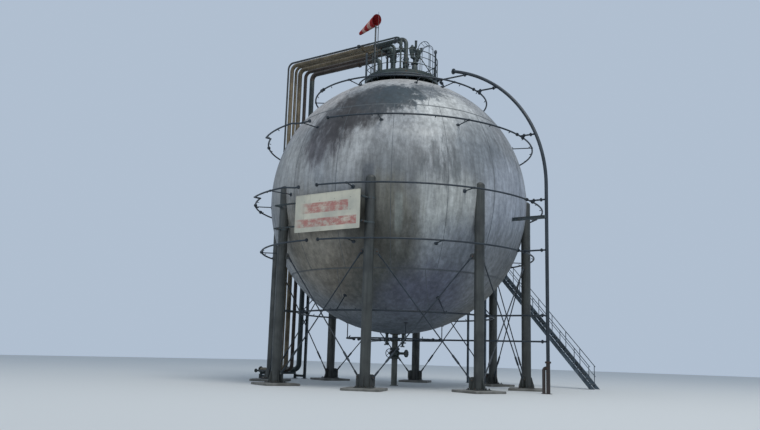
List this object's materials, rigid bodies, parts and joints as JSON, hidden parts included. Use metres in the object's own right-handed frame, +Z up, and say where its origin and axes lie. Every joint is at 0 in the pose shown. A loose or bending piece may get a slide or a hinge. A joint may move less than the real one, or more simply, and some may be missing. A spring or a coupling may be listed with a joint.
{
  "type": "spherical gas tank",
  "caption": "Welded spherical pressure tank on tubular legs with crossed tie rods, spray rings, crown pipework, top platform, access stairs, sign and turning windsock.",
  "frame": {"origin": "middle of the base on the ground, which is the middle of the whole object's box, a little beside the tank's own upright axis", "axes": "+Z up, the longest side; -Y is the front with the sign board, +X is the side of the front riser, -X the side of the pipes that come down"},
  "size_m": [16.645, 15.6234, 18.9],
  "materials": {
    "weathered_silver_shell": "weathered aluminium paint, wet streaks",
    "slate_leg": "matt, dirty",
    "navy_steel": "satin, wet",
    "pipe_paint": "satin aluminium cladding, dirty underside",
    "green_grey_steel": "matt, wet",
    "blue_grey_steel": "matt",
    "slate_steel": "matt",
    "cream_board": "matt, faded",
    "windsock_cloth": "faded nylon bands"
  },
  "bodies": {
    "tank": {"shell_top_crown": "weathered_silver_shell", "shell_equator_belt": "weathered_silver_shell", "shell_bottom_crown": "weathered_silver_shell", "leg_1": "slate_leg", "tie_rod_1a": "navy_steel", "tie_rod_1b": "navy_steel", "leg_2": "slate_leg", "tie_rod_2a": "navy_steel", "tie_rod_2b": "navy_steel", "leg_3": "slate_leg", "tie_rod_3a": "navy_steel", "tie_rod_3b": "navy_steel", "leg_4": "slate_leg", "tie_rod_4a": "navy_steel", "tie_rod_4b": "navy_steel", "leg_5": "slate_leg", "tie_rod_5a": "navy_steel", "tie_rod_5b": "navy_steel", "leg_6": "slate_leg", "tie_rod_6a": "navy_steel", "tie_rod_6b": "navy_steel", "leg_7": "slate_leg", "tie_rod_7a": "navy_steel", "tie_rod_7b": "navy_steel", "leg_8": "slate_leg", "tie_rod_8a": "navy_steel", "tie_rod_8b": "navy_steel", "ring_2_right": "navy_steel", "ring_2_left": "navy_steel", "ring_3_right": "navy_steel", "ring_3_left": "navy_steel", "ring_4_right": "navy_steel", "ring_4_left": "navy_steel", "ring_5_right": "navy_steel", "ring_5_left": "navy_steel", "ring_6": "navy_steel", "ring_7": "navy_steel", "riser_right": "navy_steel", "riser_left": "navy_steel", "vapour_line_1": "pipe_paint", "vapour_line_2": "pipe_paint", "vapour_line_3": "pipe_paint", "vapour_line_4": "pipe_paint", "vapour_line_5": "pipe_paint", "liquid_line_6": "pipe_paint", "line_rack": "slate_steel", "platform_deck": "green_grey_steel", "platform_railing": "green_grey_steel", "stair_flight": "blue_grey_steel", "stair_rail_inner": "blue_grey_steel", "stair_rail_outer": "blue_grey_steel", "stair_landing": "blue_grey_steel", "arch_stair": "blue_grey_steel", "sign_board": "cream_board", "top_manhole": "green_grey_steel", "relief_valves": "green_grey_steel", "windsock_mast": "slate_steel", "bottom_outlet": "pipe_paint"},
    "windsock": {"windsock": "windsock_cloth"}
  },
  "joints": [
    {"name": "windsock_swivel", "type": "hinge", "parent": "tank", "child": "windsock", "pos_m": [-0.6875, -1.1883, 18.5], "axis": [0, 0, 1], "continuous": true}
  ]
}
